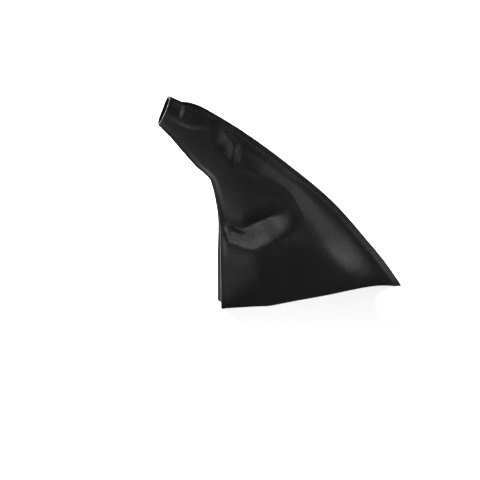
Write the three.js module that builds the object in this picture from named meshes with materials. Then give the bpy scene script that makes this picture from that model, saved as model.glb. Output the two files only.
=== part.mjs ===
// Handbrake boot: a soft black cover that stands over the foot of a parking brake lever.
// Two folded panels of leatherette meet at a front seam and at a long spine seam. The wide
// end has a raw cut hem that rests on the floor, the small end has a hemmed collar.
//
// Millimetres. +Z is up, the collar leans forward (-X), the seams lie in the X-Z plane.
// A place on a panel is (across, along): across runs from the front edge (0) to the
// spine (1), along runs from the hem (0) to the mouth of the collar (1).
import * as THREE from 'three';

// Driving dimensions
const BASE_LENGTH = 160;       // front edge to the end of the spine, on the floor
const HEIGHT = 186.6;          // floor to the upper corner of the mouth
const LEFT_BULGE = 16.5;       // how far the flatter left panel swells off the seams
const RIGHT_BULGE = 50;        // how far the right panel swells out
const FRONT_HALF_WIDTH = 8;    // front face, from the seam to a crease, at the hem
const FRONT_GROOVE = 4.5;      // the front seam lies this far behind the creases
const REAR_SWING = 6.3;        // the rear of the hem swings to the right by this
const SHEET = 1.0;             // thickness of the leatherette
const LAYER_GAP = 0.3;         // between two layers that lie on each other
const SEAM_ALLOWANCE = 8;      // turned inside along both seams
const COLLAR_HALF_DEPTH = 6.2; // middle of the collar's wall, from the seam plane

// Outline in the seam plane, as shares of the base length and the height
const SPINE_LINE = [[1, 0], [0.908, 0.12], [0.821, 0.22], [0.606, 0.45], [0.375, 0.64],
  [0.15, 0.804], [-0.046, 0.925], [-0.122, 0.959], [-0.172, 0.969]];
const FRONT_LINE = [[0, 0], [0, 0.22], [0, 0.43], [-0.033, 0.593], [-0.072, 0.647],
  [-0.12, 0.69], [-0.235, 0.823]];
const MOUTH_TOP = [-0.2375, 1];
const MOUTH_BOTTOM = [-0.295, 0.883];

// Shares along a panel
const COLLAR_STITCH = 0.92;    // the collar begins here
const COLLAR_HEM_EDGE = 0.905; // raw edge of the collar's hem, inside
const ALLOWANCE_END = 0.885;   // the seam allowances are notched out above this
const GROOVE_END = 0.62;       // the front groove has run out here
const SWING_END = 0.28;        // the rear swing has run out here

// How far the left panel swells, as a share of LEFT_BULGE: one row per place along
const SWELL_ACROSS = [0, 0.1, 0.27, 0.45, 0.6, 0.72, 0.88, 1];
const SWELL_ALONG = [0, 0.12, 0.25, 0.4, 0.55, 0.7, 0.85, 1];
const LEFT_SWELL = [
  [0.28, 0.37, 0.42, 0.29, 0.20, 0.10, 0.02, 0],
  [0.30, 0.49, 0.68, 0.57, 0.49, 0.39, 0.05, 0],
  [0.28, 0.54, 0.80, 0.77, 0.72, 0.60, 0.07, 0],
  [0.26, 0.52, 0.76, 0.78, 0.69, 0.50, 0.08, 0],
  [0.16, 0.40, 0.57, 0.57, 0.47, 0.31, 0.07, 0],
  [0.08, 0.25, 0.39, 0.42, 0.37, 0.26, 0.07, 0],
  [0.04, 0.15, 0.28, 0.34, 0.34, 0.28, 0.13, 0],
  [0.02, 0.11, 0.17, 0.19, 0.18, 0.15, 0.08, 0]];

// The right panel swells in one broad belly: share of RIGHT_BULGE at each place along
const RIGHT_SWELL = [1, 0.88, 0.72, 0.55, 0.37, 0.23, 0.125, 0.06];
const RIGHT_ACROSS = [0.1, 0.42, 0.82, 1, 0.86, 0.56, 0.17, 0];

const SWING_ACROSS = [0, 0, 0, 0.13, 0.45, 0.79, 0.98, 0.24];

// Folds: a line of (across, along) places, a height as a share of the panel's bulge (minus
// is a valley), the width of each flank as a share of BASE_LENGTH (upper or rear side
// first), how it fades at its two ends, and how pointed its section is (2 is rounded, 1 is
// pinched)
const LEFT_FOLDS = [
  // slim ridge beside the spine, below the collar
  { line: [[0.75, 0.86], [0.78, 0.83], [0.83, 0.802], [0.875, 0.768], [0.87, 0.735],
    [0.837, 0.701]], height: 0.055, flanks: [0.045, 0.022], fade: [0.35, 0.35], point: 1.8 },
  // edge of the long band beside the spine, steep towards the belly
  { line: [[0.45, 0.68], [0.62, 0.605], [0.735, 0.53], [0.762, 0.48], [0.735, 0.43],
    [0.7, 0.37], [0.69, 0.3]],
    height: 0.16, flanks: [0.056, 0.022], fade: [0.3, 0.45], point: 1.8 },
  // valley that leaves the collar, steep on its upper side
  { line: [[0.37, 1], [0.41, 0.95], [0.45, 0.88], [0.565, 0.84], [0.7, 0.815], [0.78, 0.8]],
    height: -0.14, flanks: [0.018, 0.12], fade: [0, 0.3], point: 1.8 },
  // its end, which hooks down and back
  { line: [[0.79, 0.792], [0.81, 0.772], [0.79, 0.742], [0.7, 0.712], [0.55, 0.692],
    [0.4, 0.685]], height: -0.16, flanks: [0.035, 0.05], fade: [0.35, 0.35], point: 1.6 },
  // raised corner inside the hook
  { line: [[0.8, 0.745], [0.62, 0.722], [0.46, 0.705], [0.28, 0.7]],
    height: 0.04, flanks: [0.062, 0.038], fade: [0.45, 0.5], point: 2 },
  // pinched upper edge of the crescent
  { line: [[-0.2, 0.52], [0, 0.452], [0.063, 0.423], [0.15, 0.386], [0.22, 0.379],
    [0.326, 0.393], [0.54, 0.405], [0.74, 0.42]],
    height: -0.485, flanks: [0.081, 0.06], fade: [0, 0.3], point: 1.35 },
  // roll of the crescent
  { line: [[-0.15, 0.5], [-0.02, 0.4], [0.035, 0.353], [0.085, 0.333], [0.2, 0.308],
    [0.36, 0.312], [0.5, 0.32], [0.68, 0.345]],
    height: 0.24, flanks: [0.056, 0.075], fade: [0, 0.35], point: 1.8 },
  // thin lip inside the crescent, near the front
  { line: [[0.04, 0.42], [0.09, 0.392], [0.15, 0.366], [0.25, 0.355]],
    height: 0.055, flanks: [0.016, 0.019], fade: [0.3, 0.5], point: 2 },
  // soft upright ridge from the crescent to the hem
  { line: [[0.226, 0.33], [0.228, 0.2], [0.233, 0.1], [0.248, 0]],
    height: 0.11, flanks: [0.088, 0.062], fade: [0.15, 0], point: 1.4 },
];
const RIGHT_FOLDS = [
  // valley that leaves the collar
  { line: [[0.45, 1], [0.47, 0.92], [0.58, 0.82], [0.62, 0.7]],
    height: -0.06, flanks: [0.031, 0.05], fade: [0, 0.4], point: 1.6 },
  // two slack creases over the belly
  { line: [[0.12, 0.6], [0.35, 0.54], [0.58, 0.55], [0.78, 0.6]],
    height: -0.1, flanks: [0.075, 0.05], fade: [0.3, 0.3], point: 1.6 },
  { line: [[0.05, 0.4], [0.25, 0.35], [0.5, 0.36]],
    height: -0.1, flanks: [0.088, 0.056], fade: [0.25, 0.4], point: 1.6 },
  // upright folds that run out at the hem
  { line: [[0.3, 0.3], [0.27, 0.15], [0.26, 0.02]],
    height: 0.07, flanks: [0.1, 0.075], fade: [0.35, 0.2], point: 2 },
  { line: [[0.72, 0.4], [0.7, 0.2], [0.68, 0.04]],
    height: 0.07, flanks: [0.088, 0.1], fade: [0.3, 0.3], point: 2 },
];

// How finely the panels are divided
const MAIN_COLUMNS = 24;
const ROWS = 37;
const TURN_STEPS = 3;
const HEM_ROWS = 2;

// Distances that follow from the sheet
const TURN = (SHEET + LAYER_GAP) / 2;            // middle radius of a folded edge
const LOWER_LAYER = (LAYER_GAP + SHEET) / 2;     // middle of the layer at the seam plane
const UPPER_LAYER = LOWER_LAYER + 2 * TURN;      // middle of the layer folded over it
const TURN_REACH = TURN + SHEET / 2;             // a folded edge stands out by this
const EDGE_EASE = 6 * SHEET;                     // the sheet leaves an edge over this width
const SEAM_BEND = 0.7 * SHEET;                   // size of the bend at the front seam

const clamp = (x, low, high) => Math.min(high, Math.max(low, x));
const mix = (a, b, share) => a + (b - a) * share;
const ease = (x) => { const s = clamp(x, 0, 1); return s * s * (3 - 2 * s); };

// Smooth curve through values given at knots
function through(x, knots, values) {
  const last = knots.length - 1;
  const at = clamp(x, knots[0], knots[last]);
  const slope = (k) => {
    if (k === 0) return (values[1] - values[0]) / (knots[1] - knots[0]);
    if (k === last) return (values[k] - values[k - 1]) / (knots[k] - knots[k - 1]);
    const before = knots[k] - knots[k - 1], after = knots[k + 1] - knots[k];
    const rise = (values[k + 1] - values[k]) / after, fall = (values[k] - values[k - 1]) / before;
    return (rise * before + fall * after) / (before + after);
  };
  let k = 0;
  while (k < last - 1 && at > knots[k + 1]) k += 1;
  const step = knots[k + 1] - knots[k];
  const s = (at - knots[k]) / step, s2 = s * s, s3 = s2 * s;
  return (2 * s3 - 3 * s2 + 1) * values[k] + (s3 - 2 * s2 + s) * step * slope(k)
    + (3 * s2 - 2 * s3) * values[k + 1] + (s3 - s2) * step * slope(k + 1);
}

// One long edge of the outline: a curve up to the collar, then the straight collar
function makeEdge(shares, mouth) {
  const place = ([x, z]) => new THREE.Vector2(x * BASE_LENGTH, z * HEIGHT);
  const curve = new THREE.SplineCurve(shares.map(place));
  curve.arcLengthDivisions = 400;
  const start = place(shares.at(-1));
  const collar = place(mouth).sub(start);
  collar.setLength(collar.length() - TURN_REACH);
  return (along) => (along <= COLLAR_STITCH
    ? curve.getPointAt(clamp(along / COLLAR_STITCH, 0, 1))
    : start.clone().addScaledVector(collar, (along - COLLAR_STITCH) / (1 - COLLAR_STITCH)));
}
const spineEdge = makeEdge(SPINE_LINE, MOUTH_TOP);
const frontEdge = makeEdge(FRONT_LINE, MOUTH_BOTTOM);
const inPlane = (across, along) => frontEdge(along).lerp(spineEdge(along), across);
const widthAt = (along) => frontEdge(along).distanceTo(spineEdge(along));

// A fold's line in millimetres, cut into short straight pieces
function layOutFold(fold, bulge) {
  const points = fold.line.map(([across, along]) => inPlane(across, along));
  const line = new THREE.SplineCurve(points).getPoints(8 * points.length);
  const lengths = [0];
  line.slice(1).forEach((p, k) => lengths.push(lengths[k] + p.distanceTo(line[k])));
  const flanks = fold.flanks.map((share) => share * BASE_LENGTH);
  return { ...fold, height: fold.height * bulge, flanks, points: line, lengths };
}

// Height that one fold adds at a point of the seam plane
function foldHeight(fold, point) {
  const { points, lengths } = fold;
  let nearest = Infinity, side = 0, run = 0;
  for (let k = 0; k < points.length - 1; k += 1) {
    const step = points[k + 1].clone().sub(points[k]), length = step.length();
    step.divideScalar(length || 1);
    const to = point.clone().sub(points[k]);
    const reach = clamp(to.dot(step), 0, length);
    const distance = to.clone().addScaledVector(step, -reach).length();
    if (distance < nearest) {
      nearest = distance;
      side = step.x * to.y - step.y * to.x;
      run = (lengths[k] + reach) / lengths.at(-1);
    }
  }
  const flank = fold.flanks[side > 0 ? 0 : 1];
  const fadeIn = fold.fade[0] ? ease(run / fold.fade[0]) : 1;
  const fadeOut = fold.fade[1] ? ease((1 - run) / fold.fade[1]) : 1;
  return fold.height * Math.exp(-((nearest / flank) ** fold.point)) * fadeIn * fadeOut;
}

const SIDES = {
  left: {
    hand: -1,
    folds: LEFT_FOLDS.map((fold) => layOutFold(fold, LEFT_BULGE)),
    swell: (across, along) => LEFT_BULGE * through(along, SWELL_ALONG,
      LEFT_SWELL.map((row) => through(across, SWELL_ACROSS, row))),
  },
  right: {
    hand: 1,
    folds: RIGHT_FOLDS.map((fold) => layOutFold(fold, RIGHT_BULGE)),
    swell: (across, along) => RIGHT_BULGE * through(along, SWELL_ALONG, RIGHT_SWELL)
      * through(across, SWELL_ACROSS, RIGHT_ACROSS),
  },
};

// Half width of the front face: from the seam out to the crease
const creaseDepth = (along) => mix(FRONT_HALF_WIDTH, UPPER_LAYER + 0.9 * SHEET,
  ease((along - 0.1) / 0.5)) - SHEET / 2;

// Middle of the sheet, measured off the seam plane, on the broad part of a panel
function broadDepth(side, across, along) {
  const point = inPlane(across, along), width = widthAt(along);
  const fromSpine = (1 - across) * width, fromFront = across * width;
  const rise = ease(fromSpine / EDGE_EASE - 0.5) * ease(fromFront / EDGE_EASE + 0.3);
  const folds = side.folds.reduce((sum, fold) => sum + foldHeight(fold, point), 0);
  const inCollar = ease((along - ALLOWANCE_END) / (1 - ALLOWANCE_END));
  const free = UPPER_LAYER + side.swell(across, along);
  const oval = mix(UPPER_LAYER, COLLAR_HALF_DEPTH, Math.sqrt(4 * across * (1 - across)));
  const broad = mix(free, oval, inCollar) + folds * rise * (1 - 0.6 * inCollar);
  return Math.max(UPPER_LAYER, mix(creaseDepth(along), broad, ease(fromFront / EDGE_EASE)));
}

// The section of a panel, as (distance from the front edge, depth off the seam plane):
// front allowance, front seam, front face, crease, broad part, folded spine, allowance
function section(side, along) {
  const width = widthAt(along);
  const groove = FRONT_GROOVE * ease((GROOVE_END - along) / 0.25);
  const depth = creaseDepth(along);
  const seam = groove + (SHEET + LAYER_GAP) / 2;
  const columns = [
    [seam + SEAM_ALLOWANCE, LOWER_LAYER],
    [seam + SEAM_ALLOWANCE * 0.45, LOWER_LAYER],
    [seam + SEAM_BEND, LOWER_LAYER],
    [seam + SEAM_BEND / 6, LOWER_LAYER + SEAM_BEND * 0.3],
    [seam - SEAM_BEND / 7, LOWER_LAYER + SEAM_BEND]];
  [0.45, 0.85].forEach((share) => columns.push([mix(seam - SEAM_BEND / 7, SHEET / 2, share),
    mix(LOWER_LAYER + SEAM_BEND, depth, share)]));
  const first = SHEET / 2 + 0.6 * SHEET, last = width - TURN_REACH;
  for (let k = 0; k <= MAIN_COLUMNS; k += 1) {
    const even = k / MAIN_COLUMNS;
    const share = mix(even, (1 - Math.cos(Math.PI * even)) / 2, 0.45);
    const from = mix(first, last, share);
    columns.push([from, broadDepth(side, from / width, along)]);
  }
  for (let k = 1; k <= TURN_STEPS; k += 1) {
    const angle = Math.PI * k / TURN_STEPS;
    columns.push([last + TURN * Math.sin(angle),
      UPPER_LAYER - TURN * (1 - Math.cos(angle))]);
  }
  columns.push([last - (SEAM_ALLOWANCE - TURN_REACH) * 0.55, LOWER_LAYER]);
  columns.push([last - (SEAM_ALLOWANCE - TURN_REACH), LOWER_LAYER]);
  return columns;
}
const FRONT_COLUMNS = 7;
const ALLOWANCE_CELLS = 2;     // cells across each allowance, at the two ends of a row

// The middle of the sheet as rows of points, from the hem to the mouth
function middleRows(side) {
  const rows = [];
  for (let r = 0; r <= ROWS; r += 1) {
    const along = r / ROWS, front = frontEdge(along), width = widthAt(along);
    const direction = spineEdge(along).sub(front).divideScalar(width);
    const fade = REAR_SWING * ease((SWING_END - along) / SWING_END);
    rows.push(section(side, along).map(([from, depth]) => {
      const swing = fade * through(from / width, SWELL_ACROSS, SWING_ACROSS);
      return new THREE.Vector3(front.x + from * direction.x, swing + side.hand * depth,
        front.y + from * direction.y);
    }));
  }
  return rows;
}

// Mean direction of the two steps beside a place in a row or a column of points
function heading(before, here, after) {
  const sum = new THREE.Vector3();
  if (before) sum.add(here.clone().sub(before).normalize());
  if (after) sum.add(after.clone().sub(here).normalize());
  return sum.normalize();
}

// Which way the face side of the sheet looks at every point
function faceDirections(rows, hand) {
  return rows.map((row, r) => row.map((here, c) => {
    const across = heading(row[c - 1], here, row[c + 1]);
    const along = heading(rows[r - 1]?.[c], here, rows[r + 1]?.[c]);
    const out = across.cross(along).multiplyScalar(-hand);
    if (r === 0) out.z = 0;
    return out.normalize();
  }));
}

// The collar's hem: every row of it is the wall of the collar, turned round the mouth
function addHem(rows, out) {
  const mouth = rows.length - 1;
  const ahead = rows[mouth].map((p, c) => p.clone().sub(rows[mouth - 1][c]).normalize());
  for (let k = 1; k <= TURN_STEPS; k += 1) {
    const angle = Math.PI * k / TURN_STEPS;
    rows.push(rows[mouth].map((p, c) => p.clone()
      .addScaledVector(out[mouth][c], -TURN * (1 - Math.cos(angle)))
      .addScaledVector(ahead[c], TURN * Math.sin(angle))));
    out.push(out[mouth].map((n, c) => n.clone().multiplyScalar(Math.cos(angle))
      .addScaledVector(ahead[c], Math.sin(angle))));
  }
  for (let k = 1; k <= HEM_ROWS; k += 1) {
    const back = mix(1, COLLAR_HEM_EDGE, k / HEM_ROWS) * mouth;
    const row = Math.floor(back), part = back - row;
    const blend = (list, c) => list[row][c].clone().lerp(list[row + 1][c], part);
    rows.push(rows[mouth].map((p, c) => blend(rows, c)
      .addScaledVector(blend(out, c).normalize(), -2 * TURN)));
    out.push(rows[mouth].map((p, c) => blend(out, c).normalize().negate()));
  }
}

// True where a panel has sheet: the allowances stop below the collar, and the hem of
// the collar stays clear of both seams
function hasSheet(cell, row, columns) {
  const inAllowance = cell < ALLOWANCE_CELLS || cell >= columns - 1 - ALLOWANCE_CELLS;
  if (row < ROWS) return !inAllowance || (row + 1) / ROWS <= ALLOWANCE_END;
  const first = FRONT_COLUMNS + 3, last = FRONT_COLUMNS + MAIN_COLUMNS - 3;
  return cell >= first && cell < last;
}

// A closed body from the middle of a sheet, the way it faces and its thickness
function thickSheet(rows, out, hand) {
  const columns = rows[0].length, layer = rows.length * columns;
  const positions = [];
  [0.5, -0.5].forEach((share) => rows.forEach((row, r) => row.forEach((p, c) => {
    positions.push(...p.clone().addScaledVector(out[r][c], share * SHEET).toArray());
  })));
  const exists = (c, r) => c >= 0 && r >= 0 && c < columns - 1 && r < rows.length - 1
    && hasSheet(c, r, columns);
  const triangles = [];
  const quad = (a, b, c, d) => (hand < 0 ? triangles.push(a, b, c, a, c, d)
    : triangles.push(a, c, b, a, d, c));
  for (let r = 0; r < rows.length - 1; r += 1) {
    for (let c = 0; c < columns - 1; c += 1) {
      if (!exists(c, r)) continue;
      const corners = [r * columns + c, r * columns + c + 1,
        (r + 1) * columns + c + 1, (r + 1) * columns + c];
      quad(...corners);
      quad(...corners.map((v) => v + layer).reverse());
      [[0, -1], [1, 0], [0, 1], [-1, 0]].forEach(([dc, dr], k) => {
        if (exists(c + dc, r + dr)) return;
        const a = corners[k], b = corners[(k + 1) % 4];
        quad(b, a, a + layer, b + layer);
      });
    }
  }
  return withoutLoosePoints(positions, triangles);
}

// Keeps only the points that a triangle uses
function withoutLoosePoints(positions, triangles) {
  const places = new Map(), kept = [];
  const index = triangles.map((v) => {
    if (!places.has(v)) {
      places.set(v, places.size);
      kept.push(...positions.slice(3 * v, 3 * v + 3));
    }
    return places.get(v);
  });
  const geometry = new THREE.BufferGeometry();
  geometry.setAttribute('position', new THREE.Float32BufferAttribute(kept, 3));
  geometry.setIndex(index);
  geometry.computeVertexNormals();
  return geometry;
}

function makePanel(name, side) {
  const rows = middleRows(side);
  const out = faceDirections(rows, side.hand);
  addHem(rows, out);
  const leatherette = new THREE.MeshStandardMaterial(
    { color: 0x1b1c1d, roughness: 0.5, metalness: 0 });
  const panel = new THREE.Mesh(thickSheet(rows, out, side.hand), leatherette);
  panel.name = name;
  return panel;
}

// The origin is on the floor under the middle of the whole boot
function centre(panels) {
  const box = new THREE.Box3();
  panels.forEach((panel) => box.expandByObject(panel));
  const middle = box.getCenter(new THREE.Vector3());
  panels.forEach((panel) => panel.geometry.translate(-middle.x, -middle.y, -box.min.z));
}

const panels = [makePanel('left_panel', SIDES.left), makePanel('right_panel', SIDES.right)];
centre(panels);
const group = new THREE.Group();
group.name = 'handbrake_boot';
group.add(...panels);
export default group;
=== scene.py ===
"""Handbrake boot, dressed for its picture: the two leatherette panels in fine mesh,
the topstitching, and a plain studio. Shapes are worked out in millimetres."""
import math

import bpy
import numpy as np
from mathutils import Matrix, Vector


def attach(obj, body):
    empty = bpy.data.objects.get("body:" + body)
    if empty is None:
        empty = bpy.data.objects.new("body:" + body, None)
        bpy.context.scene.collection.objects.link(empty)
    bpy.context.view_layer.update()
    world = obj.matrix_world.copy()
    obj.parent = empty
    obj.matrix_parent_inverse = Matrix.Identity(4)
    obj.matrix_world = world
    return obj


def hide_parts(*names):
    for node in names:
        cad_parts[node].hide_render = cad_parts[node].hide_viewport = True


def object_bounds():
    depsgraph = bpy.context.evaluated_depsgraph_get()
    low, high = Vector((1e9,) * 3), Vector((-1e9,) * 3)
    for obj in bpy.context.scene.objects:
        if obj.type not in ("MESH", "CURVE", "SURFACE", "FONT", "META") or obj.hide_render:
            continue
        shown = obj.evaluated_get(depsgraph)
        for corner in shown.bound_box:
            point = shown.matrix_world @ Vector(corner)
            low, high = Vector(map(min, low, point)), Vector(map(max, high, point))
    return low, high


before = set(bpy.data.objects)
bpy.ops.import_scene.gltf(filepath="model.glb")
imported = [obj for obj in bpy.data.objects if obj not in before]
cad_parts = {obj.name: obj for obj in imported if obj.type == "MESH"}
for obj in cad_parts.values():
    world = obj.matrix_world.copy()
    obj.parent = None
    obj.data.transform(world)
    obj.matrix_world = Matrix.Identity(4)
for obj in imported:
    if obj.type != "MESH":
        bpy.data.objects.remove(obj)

CAD_BOX = [list(corner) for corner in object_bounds()]

# Sizes and shares, as in the part's source
BASE_LENGTH = 160.0
HEIGHT = 186.6
LEFT_BULGE = 16.5
RIGHT_BULGE = 50.0
FRONT_HALF_WIDTH = 8.0
FRONT_GROOVE = 4.5
REAR_SWING = 6.3
SHEET = 1.0
LAYER_GAP = 0.3
SEAM_ALLOWANCE = 8.0
COLLAR_HALF_DEPTH = 6.2

SPINE_LINE = [(1, 0), (0.908, 0.12), (0.821, 0.22), (0.606, 0.45), (0.375, 0.64),
              (0.15, 0.804), (-0.046, 0.925), (-0.122, 0.959), (-0.172, 0.969)]
FRONT_LINE = [(0, 0), (0, 0.22), (0, 0.43), (-0.033, 0.593), (-0.072, 0.647),
              (-0.12, 0.69), (-0.235, 0.823)]
MOUTH_TOP = (-0.2375, 1)
MOUTH_BOTTOM = (-0.295, 0.883)

COLLAR_STITCH = 0.92
COLLAR_HEM_EDGE = 0.905
ALLOWANCE_END = 0.885
GROOVE_END = 0.62
SWING_END = 0.28

SWELL_ACROSS = [0, 0.1, 0.27, 0.45, 0.6, 0.72, 0.88, 1]
SWELL_ALONG = [0, 0.12, 0.25, 0.4, 0.55, 0.7, 0.85, 1]
LEFT_SWELL = [
    [0.28, 0.37, 0.42, 0.29, 0.20, 0.10, 0.02, 0],
    [0.30, 0.49, 0.68, 0.57, 0.49, 0.39, 0.05, 0],
    [0.28, 0.54, 0.80, 0.77, 0.72, 0.60, 0.07, 0],
    [0.26, 0.52, 0.76, 0.78, 0.69, 0.50, 0.08, 0],
    [0.16, 0.40, 0.57, 0.57, 0.47, 0.31, 0.07, 0],
    [0.08, 0.25, 0.39, 0.42, 0.37, 0.26, 0.07, 0],
    [0.04, 0.15, 0.28, 0.34, 0.34, 0.28, 0.13, 0],
    [0.02, 0.11, 0.17, 0.19, 0.18, 0.15, 0.08, 0]]
RIGHT_SWELL = [1, 0.88, 0.72, 0.55, 0.37, 0.23, 0.125, 0.06]
RIGHT_ACROSS = [0.1, 0.42, 0.82, 1, 0.86, 0.56, 0.17, 0]
SWING_ACROSS = [0, 0, 0, 0.13, 0.45, 0.79, 0.98, 0.24]

# For each fold: its line of (across, along), its height as a share of the bulge, its
# flanks as shares of BASE_LENGTH, the fade at its ends, and how pointed it is
LEFT_FOLDS = [
    ([(0.75, 0.86), (0.78, 0.83), (0.83, 0.802), (0.875, 0.768), (0.87, 0.735),
      (0.837, 0.701)], 0.055, (0.045, 0.022), (0.35, 0.35), 1.8),
    ([(0.45, 0.68), (0.62, 0.605), (0.735, 0.53), (0.762, 0.48), (0.735, 0.43), (0.7, 0.37),
      (0.69, 0.3)], 0.16, (0.056, 0.022), (0.3, 0.45), 1.8),
    ([(0.37, 1), (0.41, 0.95), (0.45, 0.88), (0.565, 0.84), (0.7, 0.815), (0.78, 0.8)],
     -0.14, (0.018, 0.12), (0, 0.3), 1.8),
    ([(0.79, 0.792), (0.81, 0.772), (0.79, 0.742), (0.7, 0.712), (0.55, 0.692), (0.4, 0.685)],
     -0.16, (0.035, 0.05), (0.35, 0.35), 1.6),
    ([(0.8, 0.745), (0.62, 0.722), (0.46, 0.705), (0.28, 0.7)], 0.04, (0.062, 0.038),
     (0.45, 0.5), 2),
    ([(-0.2, 0.52), (0, 0.452), (0.063, 0.423), (0.15, 0.386), (0.22, 0.379), (0.326, 0.393),
      (0.54, 0.405), (0.74, 0.42)], -0.485, (0.081, 0.06), (0, 0.3), 1.35),
    ([(-0.15, 0.5), (-0.02, 0.4), (0.035, 0.353), (0.085, 0.333), (0.2, 0.308), (0.36, 0.312),
      (0.5, 0.32), (0.68, 0.345)], 0.24, (0.056, 0.075), (0, 0.35), 1.8),
    ([(0.04, 0.42), (0.09, 0.392), (0.15, 0.366), (0.25, 0.355)], 0.055, (0.016, 0.019),
     (0.3, 0.5), 2),
    ([(0.226, 0.33), (0.228, 0.2), (0.233, 0.1), (0.248, 0)], 0.11, (0.088, 0.062),
     (0.15, 0), 1.4),
]
RIGHT_FOLDS = [
    ([(0.45, 1), (0.47, 0.92), (0.58, 0.82), (0.62, 0.7)], -0.06, (0.031, 0.05), (0, 0.4), 1.6),
    ([(0.12, 0.6), (0.35, 0.54), (0.58, 0.55), (0.78, 0.6)], -0.1, (0.075, 0.05),
     (0.3, 0.3), 1.6),
    ([(0.05, 0.4), (0.25, 0.35), (0.5, 0.36)], -0.1, (0.088, 0.056), (0.25, 0.4), 1.6),
    ([(0.3, 0.3), (0.27, 0.15), (0.26, 0.02)], 0.07, (0.1, 0.075), (0.35, 0.2), 2),
    ([(0.72, 0.4), (0.7, 0.2), (0.68, 0.04)], 0.07, (0.088, 0.1), (0.3, 0.3), 2),
]

# The solids keep a gap at the seam plane. Here the panels touch, as sewn.
UPPER_LAYER = 1.5 * (SHEET + LAYER_GAP)
LOWER_LAYER = SHEET / 2 - 0.01
TURN = (UPPER_LAYER - LOWER_LAYER) / 2
TURN_REACH = TURN + SHEET / 2
EDGE_EASE = 6 * SHEET

# The front edge on the floor, from the frame's origin under the middle of the box
SEAM_PLANE = np.array([CAD_BOX[1][0] * 1000 - BASE_LENGTH, -16.675, 0.0])

# The grid is finer than that of the solids, and finest from NECK up, round the collar
NECK = 0.86
MAIN_COLUMNS = 124
ALONG = np.concatenate([np.linspace(0, NECK, 215, endpoint=False), np.linspace(NECK, 1, 72)])
ROWS = len(ALONG) - 1
TURN_STEPS = 8
HEM_ROWS = 12
HEM_MARGIN = MAIN_COLUMNS * 3 // 22     # columns at each side that the collar's hem leaves out
FRONT_ALLOWANCE_COLUMNS = 9
SPINE_ALLOWANCE_COLUMNS = 8
EDGE_STEPS = 800
FOLD_STEPS = 8     # for each point of a fold's line

# The sheet stands up beside the spine's allowances: height, distance from the spine, width
SPINE_ROLL = 0.8
SPINE_ROLL_INSET = 6.0
SPINE_ROLL_WIDTH = 3.2
SLACKNESS = 0.04
COLLAR_CALM = 0.6     # share of the folds that the collar flattens
SEAM_BEND = 0.7       # reach of the bend at the front seam, each way
SEAM_TUCK = 0.1       # how far that bend goes past the seam

# Stitching: rows of thread that pull a groove into the sheet, with a puff below the collar's
STITCH = 2.7
STITCH_PITCH = 3.5
THREAD_RADIUS = 0.2
THREAD_RINGS = 9
THREAD_SIDES = 8
SPINE_STITCH_INSET = 4.0
GROOVE_WIDTH = 0.55
GROOVE_DEPTH = 0.2
COLLAR_GROOVE_DEPTH = 0.32
PUFF = 0.3
PUFF_INSET = 1.9
PUFF_WIDTH = 1.1

# Rough flat size of a panel, in metres, and the area of each panel's cut
CUT_AREA = {"left": 0.0226, "right": 0.0253}

# Leatherette: a grain of small dimples, glossier inside than on the ridges between them
LEATHER_COLOUR = (0.0012, 0.0012, 0.0013)
LEATHER_GLOSS = 0.064
LEATHER_ROUGHNESS = (0.276, 0.34)
GRAIN_SCALE = 640.0
FINE_GRAIN_SCALE = 2600.0
THREAD_COLOUR = (0.002, 0.002, 0.002)
THREAD_GLOSS = 0.12
TWIST_SCALE = 5200.0

# Studio, in metres: a floor that curves up into a round wall, and a faint even light
FLOOR_COLOUR = (0.55, 0.55, 0.55)
FLOOR_RADIUS = 1.8
FLOOR_CURVE = 0.8
WALL_HEIGHT = 2.6
WORLD = (0.02, 0.02, 0.02)
# name, place, aimed at, size, watts
SOFTBOXES = [
    ("front", (-0.35, -0.95, 0.75), (0, 0, 0.08), (0.9, 0.75), 40),
    ("right", (0.9, -0.48, 0.27), (0, 0, 0.08), (0.62, 0.5), 8.5),
]
# name, place, aimed at, cone in degrees, blend, radius, watts. The back light throws the
# boot's shadow, and the two pools lie on the floor beside the tail, which mirrors them.
SPOTS = [
    ("back", (-0.67, 1.76, 1.6), (-0.511, 1.265, 0), 74, 0.1, 0.16, 1900),
    ("near_pool", (0.107, -0.052, 1), (0.107, -0.052, 0), 3.9, 0.5, 0.005, 430),
    ("far_pool", (0.205, -0.1, 1), (0.205, -0.1, 0), 9.1, 0.5, 0.005, 430),
]

# The photograph's camera, from the front edge on the floor, with its angles in degrees
CAMERA_PLACE = (-0.1645144, -0.8581792, 0.4937747)
CAMERA_TURN = 12.002
CAMERA_TILT = 26.4
LENS = 90
SENSOR_WIDTH = 36


# Shape functions
def ease(x):
    s = np.clip(x, 0, 1)
    return s * s * (3 - 2 * s)


def mix(a, b, share):
    return a + (b - a) * share


def slopes(values, knots):
    """Slope at each knot along the first axis, one-sided at the ends."""
    step = np.diff(knots).reshape(-1, *([1] * (values.ndim - 1)))
    rise = np.diff(values, axis=0) / step
    inner = (rise[1:] * step[:-1] + rise[:-1] * step[1:]) / (step[:-1] + step[1:])
    return np.concatenate([rise[:1], inner, rise[-1:]])


def through(x, knots, values):
    """Smooth curve through values (rows) at knots. x is an array of any shape; with
    rows of several numbers the result gains their axis."""
    knots, values = np.asarray(knots, float), np.asarray(values, float)
    slope = slopes(values, knots)
    at = np.clip(np.asarray(x, float), knots[0], knots[-1])
    k = np.clip(np.searchsorted(knots, at) - 1, 0, len(knots) - 2)
    step = (knots[k + 1] - knots[k])
    s = (at - knots[k]) / step
    extra = (...,) + (None,) * (values.ndim - 1)
    s, step = s[extra], step[extra]
    s2, s3 = s * s, s * s * s
    return ((2 * s3 - 3 * s2 + 1) * values[k] + (s3 - 2 * s2 + s) * step * slope[k]
            + (3 * s2 - 2 * s3) * values[k + 1] + (s3 - s2) * step * slope[k + 1])


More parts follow.
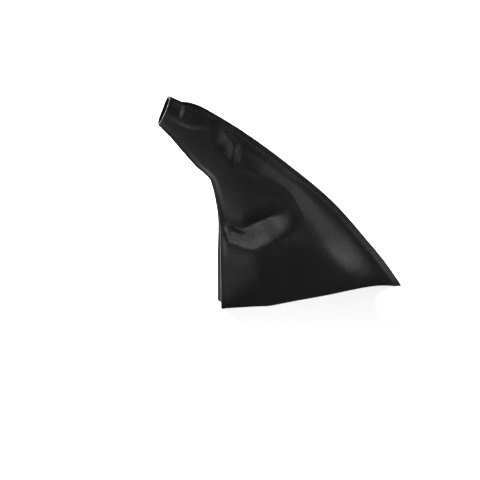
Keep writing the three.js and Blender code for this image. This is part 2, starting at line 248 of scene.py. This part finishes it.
def spline(points, n):
    """n steps of a curve through all points, each span taking the same number."""
    p = np.asarray(points, float)
    last = len(p) - 1
    t = np.linspace(0, last, n + 1)
    k = np.minimum(np.floor(t).astype(int), last)
    w = (t - k)[:, None]
    p0, p1 = p[np.maximum(k - 1, 0)], p[k]
    p2, p3 = p[np.minimum(k + 1, last)], p[np.minimum(k + 2, last)]
    v0, v1 = (p2 - p0) / 2, (p3 - p1) / 2
    return ((2 * p1 - 2 * p2 + v0 + v1) * w**3 + (-3 * p1 + 3 * p2 - 2 * v0 - v1) * w**2
            + v0 * w + p1)


class Edge:
    """One long edge of the outline: a curve up to the collar, then straight."""

    def __init__(self, shares, mouth):
        scale = np.array([BASE_LENGTH, HEIGHT])
        self.line = spline(np.array(shares, float) * scale, EDGE_STEPS)
        steps = np.linalg.norm(np.diff(self.line, axis=0), axis=1)
        self.run = np.concatenate([[0], np.cumsum(steps)])
        self.length = self.run[-1]
        self.run = self.run / self.length
        collar = np.array(mouth, float) * scale - self.line[-1]
        size = np.linalg.norm(collar)
        self.collar = collar * (size - TURN_REACH) / size

    def at(self, along):
        along = np.asarray(along, float)
        low = np.clip(along / COLLAR_STITCH, 0, 1)
        high = np.clip((along - COLLAR_STITCH) / (1 - COLLAR_STITCH), 0, None)
        return np.stack([np.interp(low, self.run, self.line[:, i]) + high * self.collar[i]
                         for i in (0, 1)], -1)


SPINE = Edge(SPINE_LINE, MOUTH_TOP)
FRONT = Edge(FRONT_LINE, MOUTH_BOTTOM)

# Millimetres for one unit along, in the collar
COLLAR_SCALE = ((np.linalg.norm(SPINE.collar) + np.linalg.norm(FRONT.collar))
                / (2 * (1 - COLLAR_STITCH)))


def width_at(along):
    return np.linalg.norm(SPINE.at(along) - FRONT.at(along), axis=-1)


def in_plane(across, along):
    front = FRONT.at(along)
    return front + (SPINE.at(along) - front) * np.asarray(across, float)[..., None]


def fold_height(fold, bulge, points):
    """Height that one fold adds at points of the seam plane."""
    line, height, flanks, fade, pointed = fold
    line = np.array(line, float)
    path = spline(in_plane(line[:, 0], line[:, 1]), FOLD_STEPS * len(line))
    steps = np.diff(path, axis=0)
    lengths = np.linalg.norm(steps, axis=1)
    run_at = np.concatenate([[0], np.cumsum(lengths)])
    shape = points.shape[:-1]
    nearest, side, run = np.full(shape, np.inf), np.zeros(shape), np.zeros(shape)
    for k, length in enumerate(lengths):
        d = steps[k] / max(length, 1e-9)
        to = points - path[k]
        reach = np.clip(to @ d, 0, length)
        distance = np.hypot(to[..., 0] - reach * d[0], to[..., 1] - reach * d[1])
        closer = distance < nearest
        nearest = np.where(closer, distance, nearest)
        side = np.where(closer, d[0] * to[..., 1] - d[1] * to[..., 0], side)
        run = np.where(closer, (run_at[k] + reach) / run_at[-1], run)
    flank = np.where(side > 0, flanks[0], flanks[1])
    fade_in = ease(run / fade[0]) if fade[0] else 1
    fade_out = ease((1 - run) / fade[1]) if fade[1] else 1
    section = np.exp(-((nearest / (flank * BASE_LENGTH)) ** pointed))
    return height * bulge * section * fade_in * fade_out


def left_swell(across, along):
    rows = through(along, SWELL_ALONG, LEFT_SWELL)
    flat_rows, flat_across = rows.reshape(-1, len(SWELL_ACROSS)), across.ravel()
    knots = np.array(SWELL_ACROSS, float)
    slope = slopes(flat_rows.T, knots).T
    at = np.clip(flat_across, 0, 1)
    k = np.clip(np.searchsorted(knots, at) - 1, 0, len(knots) - 2)
    step, n = knots[k + 1] - knots[k], np.arange(len(at))
    s = (at - knots[k]) / step
    s2, s3 = s * s, s * s * s
    out = ((2 * s3 - 3 * s2 + 1) * flat_rows[n, k] + (s3 - 2 * s2 + s) * step * slope[n, k]
           + (3 * s2 - 2 * s3) * flat_rows[n, k + 1] + (s3 - s2) * step * slope[n, k + 1])
    return LEFT_BULGE * out.reshape(across.shape)


def right_swell(across, along):
    return (RIGHT_BULGE * through(along, SWELL_ALONG, RIGHT_SWELL)
            * through(across, SWELL_ACROSS, RIGHT_ACROSS))


SIDES = {"left": (-1, LEFT_FOLDS, LEFT_BULGE, left_swell),
         "right": (1, RIGHT_FOLDS, RIGHT_BULGE, right_swell)}


def crease_depth(along):
    return mix(FRONT_HALF_WIDTH, UPPER_LAYER + 0.9, ease((along - 0.1) / 0.5)) - SHEET / 2


def slackness(points, hand):
    """Faint unevenness of soft sheet, in millimetres."""
    x, z = points[..., 0], points[..., 1] + 40 * hand
    wave = (np.sin(x / 7.3 + 1.3 * np.sin(z / 11.0)) * np.sin(z / 8.9 + 0.9 * np.sin(x / 13.0))
            + 0.6 * np.sin((x + z) / 4.7 + np.sin((x - z) / 9.0))
            + 0.35 * np.sin((x - 1.7 * z) / 3.1 + 1.7 * np.sin(x / 6.1)))
    return SLACKNESS * wave


def stitch_relief(across, along, width):
    """Grooves that the two rows of thread pull in, with the puffed sheet beside them."""
    from_row = (1 - across) * width - SPINE_STITCH_INSET
    beside_spine = -GROOVE_DEPTH * np.exp(-((from_row / GROOVE_WIDTH) ** 2))
    below_collar = (COLLAR_STITCH - along) * COLLAR_SCALE
    row = -COLLAR_GROOVE_DEPTH * np.exp(-((below_collar / GROOVE_WIDTH) ** 2))
    puff = PUFF * np.exp(-(((below_collar - PUFF_INSET) / PUFF_WIDTH) ** 2))
    clear = ease(across * width / 4) * ease(((1 - across) * width - 1) / 2)
    return beside_spine + (row + puff) * clear


def broad_depth(name, across, along):
    """Distance of the sheet's middle from the seam plane, between its front and its spine."""
    hand, folds, bulge, swell = SIDES[name]
    points, width = in_plane(across, along), width_at(along)
    from_spine, from_front = (1 - across) * width, across * width
    rise = ease(from_spine / EDGE_EASE - 0.5) * ease(from_front / EDGE_EASE + 0.3)
    height = sum(fold_height(fold, bulge, points) for fold in folds) + slackness(points, hand)
    in_collar = ease((along - ALLOWANCE_END) / (1 - ALLOWANCE_END))
    roll = (SPINE_ROLL * np.exp(-(((from_spine - SPINE_ROLL_INSET) / SPINE_ROLL_WIDTH) ** 2))
            * ease((NECK - along) / 0.1))
    free = UPPER_LAYER + swell(across, along) + roll
    oval = mix(UPPER_LAYER, COLLAR_HALF_DEPTH, np.sqrt(np.clip(4 * across * (1 - across), 0, 1)))
    broad = mix(free, oval, in_collar) + height * rise * (1 - COLLAR_CALM * in_collar)
    out = mix(crease_depth(along), broad, ease(from_front / EDGE_EASE))
    return np.maximum(UPPER_LAYER, out) + stitch_relief(across, along, width)


def section(name, along):
    """(distance from the front edge, depth off the seam plane) for columns x rows."""
    width = width_at(along)
    groove = FRONT_GROOVE * ease((GROOVE_END - along) / 0.25)
    depth = crease_depth(along)
    seam = groove + (SHEET + LAYER_GAP) / 2
    columns = []
    for share in np.linspace(1, 0.1, FRONT_ALLOWANCE_COLUMNS):
        columns.append((seam + SEAM_ALLOWANCE * share, LOWER_LAYER + 0 * along))
    low = LOWER_LAYER + SEAM_BEND
    corner = [(seam + SEAM_BEND, LOWER_LAYER), (seam - SEAM_TUCK, LOWER_LAYER - SEAM_TUCK / 2),
              (seam - SEAM_TUCK, low)]
    for q in np.linspace(0, 1, 7)[1:]:
        weights = ((1 - q) ** 2, 2 * q * (1 - q), q * q)
        columns.append(tuple(sum(w * c[i] for w, c in zip(weights, corner)) + 0 * along
                             for i in (0, 1)))
    for share in (0.18, 0.36, 0.52, 0.66, 0.78, 0.88, 0.95):
        columns.append((mix(seam - SEAM_TUCK, SHEET / 2, share), mix(low, depth, share)))
    front_columns = len(columns)
    first, last = SHEET / 2 + 0.25, width - TURN_REACH
    for k in range(MAIN_COLUMNS + 1):
        even = k / MAIN_COLUMNS
        share = mix(even, (1 - math.cos(math.pi * even)) / 2, 0.5)
        from_front = mix(first, last, share)
        columns.append((from_front, broad_depth(name, from_front / width, along)))
    for k in range(1, TURN_STEPS + 1):
        angle = math.pi * k / TURN_STEPS
        columns.append((last + TURN * math.sin(angle),
                        UPPER_LAYER - TURN * (1 - math.cos(angle)) + 0 * along))
    for share in np.linspace(0, 1, SPINE_ALLOWANCE_COLUMNS + 1)[1:]:
        columns.append((last - (SEAM_ALLOWANCE - TURN_REACH) * share, LOWER_LAYER + 0 * along))
    return columns, front_columns


def place(name, from_front, depth, along):
    """Point in space, from the distances off the front edge and the seam plane."""
    front, width = FRONT.at(along), width_at(along)
    direction = (SPINE.at(along) - front) / width[:, None]
    swing = (REAR_SWING * ease((SWING_END - along) / SWING_END)
             * through(from_front / width, SWELL_ACROSS, SWING_ACROSS))
    return np.stack([front[:, 0] + from_front * direction[:, 0],
                     swing + SIDES[name][0] * depth,
                     front[:, 1] + from_front * direction[:, 1]], -1)


def middle_sheet(name):
    """Middle of the sheet, rows x columns x 3, and how many columns lie before its face."""
    columns, front_columns = section(name, ALONG)
    sheet = [place(name, from_front, depth, ALONG) for from_front, depth in columns]
    return np.stack(sheet, 1), front_columns


def unit(v):
    return v / np.maximum(np.linalg.norm(v, axis=-1, keepdims=True), 1e-12)


def heading(grid, axis):
    """Mean direction of the two steps beside each point, along an axis."""
    step = unit(np.diff(grid, axis=axis))
    ends = [(0, 0), (0, 0), (0, 0)]
    ends[axis] = (1, 0)
    before = np.pad(step, ends)
    ends[axis] = (0, 1)
    return unit(before + np.pad(step, ends))


def face_directions(grid, hand):
    """The way the sheet's face looks at each point, level along the cut hem."""
    out = np.cross(heading(grid, 1), heading(grid, 0)) * -hand
    out[0, :, 2] = 0
    return unit(out)


def add_hem(grid, out):
    """The collar's wall again, turned round the mouth and laid inside it."""
    mouth = len(grid) - 1
    ahead = unit(grid[mouth] - grid[mouth - 1])
    rows, ways = [grid], [out]
    for k in range(1, TURN_STEPS + 1):
        angle = math.pi * k / TURN_STEPS
        rows.append((grid[mouth] - TURN * (1 - math.cos(angle)) * out[mouth]
                     + TURN * math.sin(angle) * ahead)[None])
        ways.append((math.cos(angle) * out[mouth] + math.sin(angle) * ahead)[None])
    for k in range(1, HEM_ROWS + 1):
        back = np.interp(mix(1, COLLAR_HEM_EDGE, k / HEM_ROWS), ALONG, np.arange(mouth + 1))
        row = min(int(back), mouth - 1)
        part = back - row
        way = unit(mix(out[row], out[row + 1], part))
        rows.append((mix(grid[row], grid[row + 1], part) - 2 * TURN * way)[None])
        ways.append(-way[None])
    return np.concatenate(rows), np.concatenate(ways)


def thick_sheet(name, grid, out, front_columns):
    """Closed mesh object from the middle of the sheet."""
    hand = SIDES[name][0]
    rows, columns = grid.shape[:2]
    cells = np.zeros((rows - 1, columns - 1), bool)
    cells[:ROWS] = True
    above = np.append(ALONG[1:], np.ones(rows - 1 - ROWS)) > ALLOWANCE_END
    cells[np.ix_(above, range(FRONT_ALLOWANCE_COLUMNS - 1))] = False
    cells[np.ix_(above, range(columns - 1 - SPINE_ALLOWANCE_COLUMNS, columns - 1))] = False
    cells[ROWS:, :front_columns + HEM_MARGIN] = False
    cells[ROWS:, front_columns + MAIN_COLUMNS - HEM_MARGIN:] = False
    layer = rows * columns
    index = np.arange(layer).reshape(rows, columns)
    a, b = index[:-1, :-1], index[:-1, 1:]
    c, d = index[1:, 1:], index[1:, :-1]
    quads = [np.stack([a, b, c, d], -1)[cells], np.stack([d, c, b, a], -1)[cells] + layer]
    padded = np.pad(cells, 1)
    for (dc, dr), p, q in (((0, -1), a, b), ((1, 0), b, c), ((0, 1), c, d), ((-1, 0), d, a)):
        beside = padded[1 + dr:rows + dr, 1 + dc:columns + dc]
        rim = cells & ~beside
        quads.append(np.stack([q, p, p + layer, q + layer], -1)[rim])
    quads = np.concatenate(quads)
    if hand > 0:
        quads = quads[:, ::-1]
    points = np.concatenate([(grid + out * SHEET / 2).reshape(-1, 3),
                             (grid - out * SHEET / 2).reshape(-1, 3)])
    used, quads = np.unique(quads, return_inverse=True)
    points = (points[used] + SEAM_PLANE) / 1000
    mesh = bpy.data.meshes.new(name + "_leather")
    mesh.from_pydata(points.tolist(), [], quads.reshape(-1, 4).tolist())
    mesh.update()
    mesh.shade_smooth()
    mesh.set_sharp_from_angle(angle=math.radians(55))
    obj = bpy.data.objects.new(name + "_leather", mesh)
    bpy.context.scene.collection.objects.link(obj)
    return obj


# Thread
def outer_face(name, from_front, along):
    """Points on the face side of a panel and the way it faces there."""
    def middle(f, a):
        return place(name, f, broad_depth(name, f / width_at(a), a), a)
    here = middle(from_front, along)
    across = middle(from_front + 0.2, along) - here
    up = middle(from_front, along + 0.001) - here
    out = unit(np.cross(across, up) * -SIDES[name][0])
    return here + out * SHEET / 2, out


def stitch_row(name, from_front, along):
    """Closed little tubes, one for each stitch of a row that runs through the places."""
    line, out = outer_face(name, from_front, along)
    run = np.concatenate([[0], np.cumsum(np.linalg.norm(np.diff(line, axis=0), axis=1))])
    t = np.linspace(0, 1, THREAD_RINGS)
    lift = THREAD_RADIUS * (0.9 - 3.1 * (2 * t - 1) ** 4)     # both ends dip into the sheet
    radius = THREAD_RADIUS * np.sqrt(1 - 0.75 * (2 * t - 1) ** 6)
    angles = np.arange(THREAD_SIDES) * 2 * math.pi / THREAD_SIDES
    points, faces = [], []
    for start in np.arange(0.6, run[-1] - STITCH - 0.3, STITCH_PITCH):
        at = start + STITCH * t
        middle = np.stack([np.interp(at, run, line[:, i]) for i in range(3)], -1)
        up = unit(np.stack([np.interp(at, run, out[:, i]) for i in range(3)], -1))
        middle = middle + up * lift[:, None]
        ahead = unit(np.gradient(middle, axis=0))
        side = np.cross(ahead, up)
        up = np.cross(side, ahead)
        base = len(points)
        for k in range(THREAD_RINGS):
            for angle in angles:
                points.append(middle[k] + radius[k] * (math.cos(angle) * side[k]
                                                       + math.sin(angle) * up[k]))
        for k in range(THREAD_RINGS - 1):
            for j in range(THREAD_SIDES):
                a = base + THREAD_SIDES * k + j
                b = base + THREAD_SIDES * k + (j + 1) % THREAD_SIDES
                faces.append((a, b, b + THREAD_SIDES, a + THREAD_SIDES))
        end = base + THREAD_SIDES * (THREAD_RINGS - 1)
        faces.append(tuple(base + j for j in reversed(range(THREAD_SIDES))))
        faces.append(tuple(end + j for j in range(THREAD_SIDES)))
    return points, faces


def thread_rows(name):
    """The row beside the spine and the row round the collar."""
    along = np.linspace(0.004, 0.995, 1500)
    yield "spine_stitches", width_at(along) - SPINE_STITCH_INSET, along
    share = np.linspace(0, 1, 300)
    ring = np.full_like(share, COLLAR_STITCH)
    width = width_at(ring)
    yield "collar_stitches", mix(1.2, width - SPINE_STITCH_INSET - 0.6, share), ring


# Materials
def principled(name, colour, roughness, gloss):
    material = bpy.data.materials.new(name)
    material.use_nodes = True
    shader = material.node_tree.nodes["Principled BSDF"]
    shader.inputs["Base Color"].default_value = (*colour, 1)
    shader.inputs["Roughness"].default_value = roughness
    shader.inputs["Specular IOR Level"].default_value = gloss
    return material, material.node_tree, shader


def node(tree, kind, **settings):
    """New node with its inputs or properties set."""
    made = tree.nodes.new(kind)
    for key, value in settings.items():
        if key in made.inputs.keys():
            made.inputs[key].default_value = value
        else:
            setattr(made, key, value)
    return made


def leatherette():
    material, tree, shader = principled("leatherette", LEATHER_COLOUR,
                                        sum(LEATHER_ROUGHNESS) / 2, LEATHER_GLOSS)
    where = node(tree, "ShaderNodeTexCoord").outputs["Object"]
    link = tree.links.new
    grain = node(tree, "ShaderNodeTexVoronoi", feature="SMOOTH_F1", Scale=GRAIN_SCALE)
    fine = node(tree, "ShaderNodeTexNoise", Scale=FINE_GRAIN_SCALE, Detail=3.0)
    link(where, grain.inputs["Vector"])
    link(where, fine.inputs["Vector"])
    height = node(tree, "ShaderNodeMath", operation="MULTIPLY_ADD")
    height.inputs[1].default_value = 0.5
    link(fine.outputs["Fac"], height.inputs[0])
    link(grain.outputs["Distance"], height.inputs[2])
    bump = node(tree, "ShaderNodeBump", Strength=0.65, Distance=0.0003)
    link(height.outputs[0], bump.inputs["Height"])
    link(bump.outputs["Normal"], shader.inputs["Normal"])
    wear = node(tree, "ShaderNodeMapRange")
    wear.inputs["From Max"].default_value = 0.8
    wear.inputs["To Min"].default_value = LEATHER_ROUGHNESS[0]
    wear.inputs["To Max"].default_value = LEATHER_ROUGHNESS[1]
    link(grain.outputs["Distance"], wear.inputs["Value"])
    link(wear.outputs["Result"], shader.inputs["Roughness"])
    return material


def thread_material():
    material, tree, shader = principled("thread", THREAD_COLOUR, 0.45, THREAD_GLOSS)
    where = node(tree, "ShaderNodeTexCoord").outputs["Object"]
    twist = node(tree, "ShaderNodeTexNoise", Scale=TWIST_SCALE, Detail=2.0)
    tree.links.new(where, twist.inputs["Vector"])
    bump = node(tree, "ShaderNodeBump", Strength=0.4, Distance=0.0001)
    tree.links.new(twist.outputs["Fac"], bump.inputs["Height"])
    tree.links.new(bump.outputs["Normal"], shader.inputs["Normal"])
    return material


# Pieces
def add_mesh(name, points, faces, material):
    mesh = bpy.data.meshes.new(name)
    mesh.from_pydata(((np.array(points) + SEAM_PLANE) / 1000).tolist(), [], faces)
    mesh.shade_smooth()
    mesh.materials.append(material)
    obj = bpy.data.objects.new(name, mesh)
    bpy.context.scene.collection.objects.link(obj)
    return obj


def add_threads(name, material):
    for row, from_front, along in thread_rows(name):
        thread = add_mesh(f"{name}_{row}", *stitch_row(name, from_front, along), material)
        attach(thread, "root")
        yield thread


def add_panel(name, material):
    hand = SIDES[name][0]
    grid, front_columns = middle_sheet(name)
    grid, out = add_hem(grid, face_directions(grid, hand))
    panel = thick_sheet(name, grid, out, front_columns)
    panel.data.materials.append(material)
    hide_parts(name + "_panel")
    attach(panel, "root")
    return panel


# Studio
def aim(obj, target):
    way = Vector(target) - obj.location
    obj.rotation_euler = way.to_track_quat("-Z", "Y").to_euler()


def softbox(name, where, target, size, power):
    light = bpy.data.lights.new(name, "AREA")
    light.shape = "RECTANGLE"
    light.size, light.size_y = size
    light.energy = power
    obj = bpy.data.objects.new(name, light)
    bpy.context.scene.collection.objects.link(obj)
    obj.location = where
    aim(obj, target)


def spot(name, where, target, cone, blend, radius, power):
    """Spot with a cone of so many degrees; it lights the floor, and no gloss mirrors it."""
    light = bpy.data.lights.new(name, "SPOT")
    light.energy, light.spot_blend, light.shadow_soft_size = power, blend, radius
    light.spot_size = math.radians(cone)
    obj = bpy.data.objects.new(name, light)
    bpy.context.scene.collection.objects.link(obj)
    obj.location = where
    obj.visible_glossy = False
    aim(obj, target)


def round_backdrop():
    """Floor that rises into a round wall behind and around the boot."""
    arc = [(FLOOR_RADIUS + FLOOR_CURVE * math.sin(a), FLOOR_CURVE * (1 - math.cos(a)))
           for a in np.linspace(0, math.pi / 2, 9)]
    profile = [(FLOOR_RADIUS / 3, 0.0), *arc, (FLOOR_RADIUS + FLOOR_CURVE, WALL_HEIGHT)]
    turns, points, faces = 64, [(0, 0, 0)], []
    for reach, height in profile:
        points += [(reach * math.cos(a), reach * math.sin(a), height)
                   for a in np.linspace(0, 2 * math.pi, turns, endpoint=False)]
    for k in range(turns):
        n = (k + 1) % turns
        faces.append((0, 1 + k, 1 + n))
        faces += [(1 + r * turns + k, 1 + (r + 1) * turns + k,
                   1 + (r + 1) * turns + n, 1 + r * turns + n) for r in range(len(profile) - 1)]
    mesh = bpy.data.meshes.new("floor")
    mesh.from_pydata(points, [], faces)
    mesh.shade_smooth()
    floor = bpy.data.objects.new("floor", mesh)
    bpy.context.scene.collection.objects.link(floor)
    return floor


def studio():
    floor = round_backdrop()
    floor.data.materials.append(principled("pale_floor", FLOOR_COLOUR, 0.9, 0.0)[0])
    world = bpy.data.worlds.new("studio")
    world.use_nodes = True
    world.node_tree.nodes["Background"].inputs[0].default_value = (*WORLD, 1)
    bpy.context.scene.world = world
    for light in SOFTBOXES:
        softbox(*light)
    for light in SPOTS:
        spot(*light)
    bpy.context.scene.view_settings.view_transform = "Standard"


def camera():
    """The photograph's view, a little from the front and from above."""
    data = bpy.data.cameras.new("camera")
    data.lens, data.sensor_width = LENS, SENSOR_WIDTH
    obj = bpy.data.objects.new("camera", data)
    bpy.context.scene.collection.objects.link(obj)
    obj.location = Vector(CAMERA_PLACE) + Vector(SEAM_PLANE / 1000)
    turn, tilt = math.radians(CAMERA_TURN), math.radians(CAMERA_TILT)
    aim(obj, obj.location + Vector((math.cos(tilt) * math.sin(turn),
                                    math.cos(tilt) * math.cos(turn), -math.sin(tilt))))
    bpy.context.scene.camera = obj


studio()
camera()
leather, thread = leatherette(), thread_material()
for name, cut_area in CUT_AREA.items():
    panel = add_panel(name, leather)
    threads = list(add_threads(name, thread))
